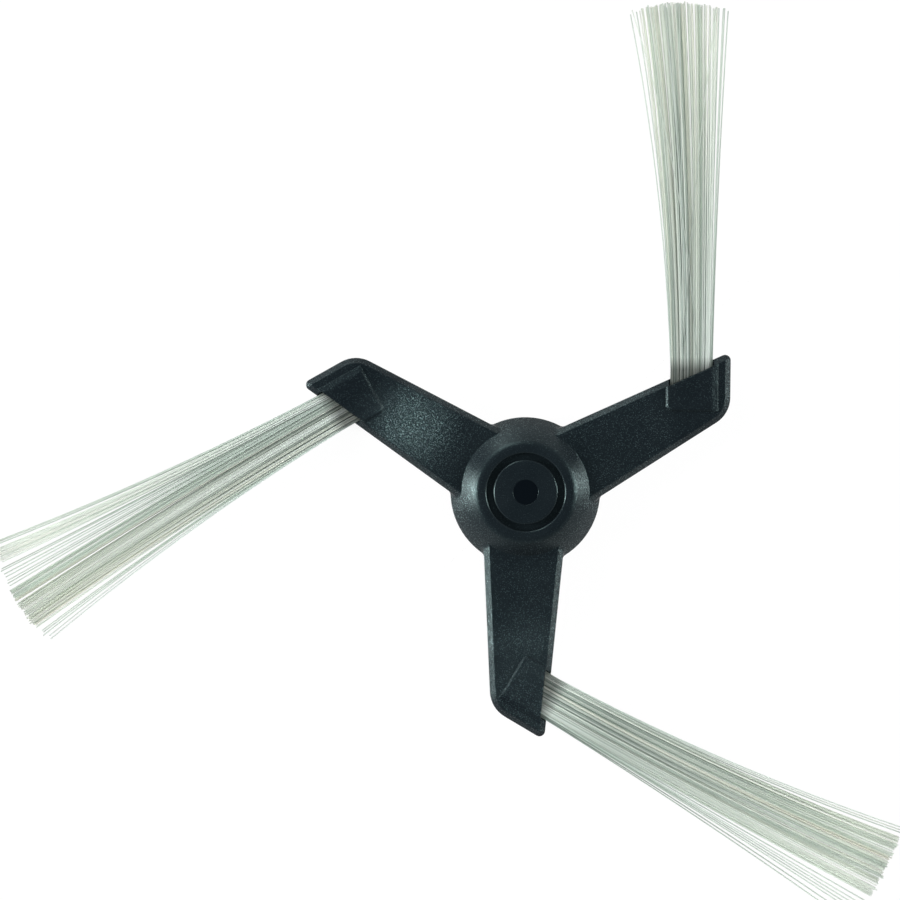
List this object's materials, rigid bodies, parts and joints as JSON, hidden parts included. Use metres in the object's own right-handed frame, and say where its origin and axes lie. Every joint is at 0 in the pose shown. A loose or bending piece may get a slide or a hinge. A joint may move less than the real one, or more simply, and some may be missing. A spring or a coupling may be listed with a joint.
{
  "type": "robot vacuum side brush",
  "caption": "Flat sweeping brush for the edge of a floor-cleaning robot: a bell-shaped hub with a screw seat, tapered arms and trailing fans of stiff bristles.",
  "frame": {"origin": "hub axis at the open face of the drive boss, which the brush lies on", "axes": "+Z along the hub axis from the drive boss to the screw seat on the floor side; one arm points along -Y"},
  "size_m": [0.1525, 0.1503, 0.0118],
  "materials": {
    "black_plastic": "satin, finely grained",
    "nylon_bristle": "pale translucent nylon"
  },
  "bodies": {
    "root": {"three_arm_hub": "black_plastic", "bristle_tuft_1": "nylon_bristle", "bristle_tuft_2": "nylon_bristle", "bristle_tuft_3": "nylon_bristle"}
  },
  "joints": []
}
